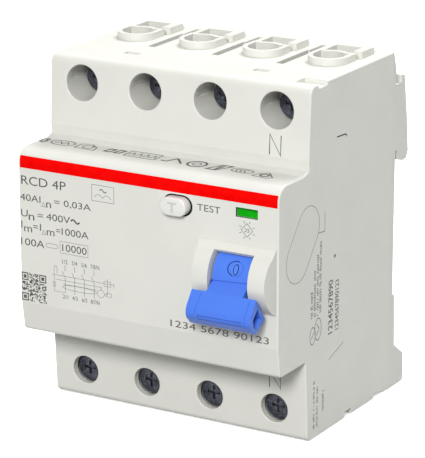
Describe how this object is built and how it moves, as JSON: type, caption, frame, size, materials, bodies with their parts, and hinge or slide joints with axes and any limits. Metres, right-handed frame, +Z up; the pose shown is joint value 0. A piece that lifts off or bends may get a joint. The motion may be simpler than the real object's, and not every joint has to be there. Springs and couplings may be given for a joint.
{
  "type": "residual current device",
  "caption": "Four-pole residual current device for a 35 mm rail: stepped grey case, blue toggle in a cowl, test button, status window, lift-cage screw terminals.",
  "frame": {"origin": "centre of the 35 mm rail's seat on the back of the case", "axes": "X right along the rail, +Y out of the back towards the wall, +Z up; the front panel faces -Y"},
  "size_m": [0.07, 0.0737, 0.0867],
  "materials": {
    "case_plastic": "fine spark-eroded texture, light warm grey",
    "stripe_red": "smooth printed red band",
    "window_clear": "clear polycarbonate window",
    "flag_plastic": "green upper half, red lower half",
    "toggle_plastic": "satin blue",
    "button_plastic": "satin light grey",
    "clip_plastic": "light grey, sliding surfaces polished",
    "zinc_steel": "zinc plated",
    "cage_steel": "zinc plated, folded",
    "screw_steel": "blackened steel",
    "copper": "bare copper, slightly dull",
    "contact_silver": "silver alloy",
    "inner_plastic": "glass filled, dark",
    "core_case": "black moulded ring case",
    "relay_case": "grey moulded case",
    "resistor_body": "coated resistor",
    "wire_sleeve": "brown insulated conductor"
  },
  "bodies": {
    "case": {"front_cover": "case_plastic", "rear_base": "case_plastic", "side_knockout_plug": "case_plastic", "front_stripe": "stripe_red", "indicator_window": "window_clear", "case_screws": "zinc_steel", "rail_clip_spring": "zinc_steel", "test_button_spring": "zinc_steel", "toggle_pin": "zinc_steel", "trip_lever_pin": "zinc_steel", "arc_chute_plates": "zinc_steel", "upper_terminal_bars": "copper", "load_contact_bars": "copper", "lower_terminal_bars": "copper", "secondary_winding": "copper", "test_contact_leaf": "copper", "fixed_contact_tips": "contact_silver", "inner_frame": "inner_plastic", "arc_chute_cheeks": "inner_plastic", "transformer_core": "core_case", "relay_body": "relay_case", "test_resistor": "resistor_body", "primary_conductor_1": "wire_sleeve", "primary_conductor_2": "wire_sleeve", "primary_conductor_3": "wire_sleeve", "primary_conductor_4": "wire_sleeve"},
    "toggle": {"toggle_handle": "toggle_plastic", "toggle_spring": "zinc_steel"},
    "carrier": {"contact_carrier": "inner_plastic", "contact_bridges": "copper", "moving_contact_tips": "contact_silver", "contact_springs": "zinc_steel"},
    "flag": {"indicator_flag": "flag_plastic"},
    "button": {"test_button": "button_plastic"},
    "plunger": {"relay_plunger": "zinc_steel"},
    "lever": {"trip_lever": "inner_plastic"},
    "clip": {"rail_clip": "clip_plastic"},
    "upper_screw_1": {"upper_terminal_screw_1": "screw_steel"},
    "upper_cage_1": {"upper_terminal_cage_1": "cage_steel"},
    "upper_screw_2": {"upper_terminal_screw_2": "screw_steel"},
    "upper_cage_2": {"upper_terminal_cage_2": "cage_steel"},
    "upper_screw_3": {"upper_terminal_screw_3": "screw_steel"},
    "upper_cage_3": {"upper_terminal_cage_3": "cage_steel"},
    "upper_screw_4": {"upper_terminal_screw_4": "screw_steel"},
    "upper_cage_4": {"upper_terminal_cage_4": "cage_steel"},
    "lower_screw_1": {"lower_terminal_screw_1": "screw_steel"},
    "lower_cage_1": {"lower_terminal_cage_1": "cage_steel"},
    "lower_screw_2": {"lower_terminal_screw_2": "screw_steel"},
    "lower_cage_2": {"lower_terminal_cage_2": "cage_steel"},
    "lower_screw_3": {"lower_terminal_screw_3": "screw_steel"},
    "lower_cage_3": {"lower_terminal_cage_3": "cage_steel"},
    "lower_screw_4": {"lower_terminal_screw_4": "screw_steel"},
    "lower_cage_4": {"lower_terminal_cage_4": "cage_steel"}
  },
  "joints": [
    {"name": "toggle_hinge", "type": "hinge", "parent": "case", "child": "toggle", "pos_m": [0.0244, -0.0545, 0.0001], "axis": [-1, 0, 0], "range_deg": [0, 60]},
    {"name": "carrier_slide", "type": "slide", "parent": "case", "child": "carrier", "axis": [0, 0, -1], "range_m": [0, 0.0042]},
    {"name": "flag_slide", "type": "slide", "parent": "case", "child": "flag", "axis": [0, 0, 1], "range_m": [0, 0.003]},
    {"name": "test_button_press", "type": "slide", "parent": "case", "child": "button", "axis": [0, 1, 0], "range_m": [0, 0.0018], "stiffness_N_per_m": 800, "springref_m": -0.001, "deforming": ["test_button_spring"]},
    {"name": "relay_plunger_slide", "type": "slide", "parent": "case", "child": "plunger", "axis": [1, 0, 0], "range_m": [0, 0.002]},
    {"name": "trip_lever_hinge", "type": "hinge", "parent": "case", "child": "lever", "pos_m": [0.011, -0.0456, -0.002], "axis": [0, -1, 0], "range_deg": [0, 20]},
    {"name": "rail_clip_slide", "type": "slide", "parent": "case", "child": "clip", "axis": [0, 0, -1], "range_m": [0, 0.0045], "stiffness_N_per_m": 1500, "springref_m": -0.002, "deforming": ["rail_clip_spring"]},
    {"name": "upper_screw_turn_1", "type": "hinge", "parent": "case", "child": "upper_screw_1", "pos_m": [-0.02625, -0.03, 0.0362], "axis": [0, 1, 0], "range_deg": [0, 1710]},
    {"name": "upper_cage_lift_1", "type": "slide", "parent": "case", "child": "upper_cage_1", "axis": [0, -1, 0], "range_m": [0, 0.0038]},
    {"name": "upper_screw_turn_2", "type": "hinge", "parent": "case", "child": "upper_screw_2", "pos_m": [-0.00875, -0.03, 0.0362], "axis": [0, 1, 0], "range_deg": [0, 1710]},
    {"name": "upper_cage_lift_2", "type": "slide", "parent": "case", "child": "upper_cage_2", "axis": [0, -1, 0], "range_m": [0, 0.0038]},
    {"name": "upper_screw_turn_3", "type": "hinge", "parent": "case", "child": "upper_screw_3", "pos_m": [0.00875, -0.03, 0.0362], "axis": [0, 1, 0], "range_deg": [0, 1710]},
    {"name": "upper_cage_lift_3", "type": "slide", "parent": "case", "child": "upper_cage_3", "axis": [0, -1, 0], "range_m": [0, 0.0038]},
    {"name": "upper_screw_turn_4", "type": "hinge", "parent": "case", "child": "upper_screw_4", "pos_m": [0.02625, -0.03, 0.0362], "axis": [0, 1, 0], "range_deg": [0, 1710]},
    {"name": "upper_cage_lift_4", "type": "slide", "parent": "case", "child": "upper_cage_4", "axis": [0, -1, 0], "range_m": [0, 0.0038]},
    {"name": "lower_screw_turn_1", "type": "hinge", "parent": "case", "child": "lower_screw_1", "pos_m": [-0.02625, -0.03, -0.0355], "axis": [0, 1, 0], "range_deg": [0, 1710]},
    {"name": "lower_cage_lift_1", "type": "slide", "parent": "case", "child": "lower_cage_1", "axis": [0, -1, 0], "range_m": [0, 0.0038]},
    {"name": "lower_screw_turn_2", "type": "hinge", "parent": "case", "child": "lower_screw_2", "pos_m": [-0.00875, -0.03, -0.0355], "axis": [0, 1, 0], "range_deg": [0, 1710]},
    {"name": "lower_cage_lift_2", "type": "slide", "parent": "case", "child": "lower_cage_2", "axis": [0, -1, 0], "range_m": [0, 0.0038]},
    {"name": "lower_screw_turn_3", "type": "hinge", "parent": "case", "child": "lower_screw_3", "pos_m": [0.00875, -0.03, -0.0355], "axis": [0, 1, 0], "range_deg": [0, 1710]},
    {"name": "lower_cage_lift_3", "type": "slide", "parent": "case", "child": "lower_cage_3", "axis": [0, -1, 0], "range_m": [0, 0.0038]},
    {"name": "lower_screw_turn_4", "type": "hinge", "parent": "case", "child": "lower_screw_4", "pos_m": [0.02625, -0.03, -0.0355], "axis": [0, 1, 0], "range_deg": [0, 1710]},
    {"name": "lower_cage_lift_4", "type": "slide", "parent": "case", "child": "lower_cage_4", "axis": [0, -1, 0], "range_m": [0, 0.0038]}
  ],
  "couplings": [
    {"joint": "toggle_hinge", "follows": "carrier_slide", "rad_per_m": 249.21},
    {"joint": "flag_slide", "follows": "carrier_slide", "ratio": 0.71393},
    {"joint": "trip_lever_hinge", "follows": "relay_plunger_slide", "rad_per_m": 174.45},
    {"joint": "upper_screw_turn_1", "follows": "upper_cage_lift_1", "rad_per_m": 7850.1},
    {"joint": "upper_screw_turn_2", "follows": "upper_cage_lift_2", "rad_per_m": 7850.1},
    {"joint": "upper_screw_turn_3", "follows": "upper_cage_lift_3", "rad_per_m": 7850.1},
    {"joint": "upper_screw_turn_4", "follows": "upper_cage_lift_4", "rad_per_m": 7850.1},
    {"joint": "lower_screw_turn_1", "follows": "lower_cage_lift_1", "rad_per_m": 7850.1},
    {"joint": "lower_screw_turn_2", "follows": "lower_cage_lift_2", "rad_per_m": 7850.1},
    {"joint": "lower_screw_turn_3", "follows": "lower_cage_lift_3", "rad_per_m": 7850.1},
    {"joint": "lower_screw_turn_4", "follows": "lower_cage_lift_4", "rad_per_m": 7850.1}
  ]
}
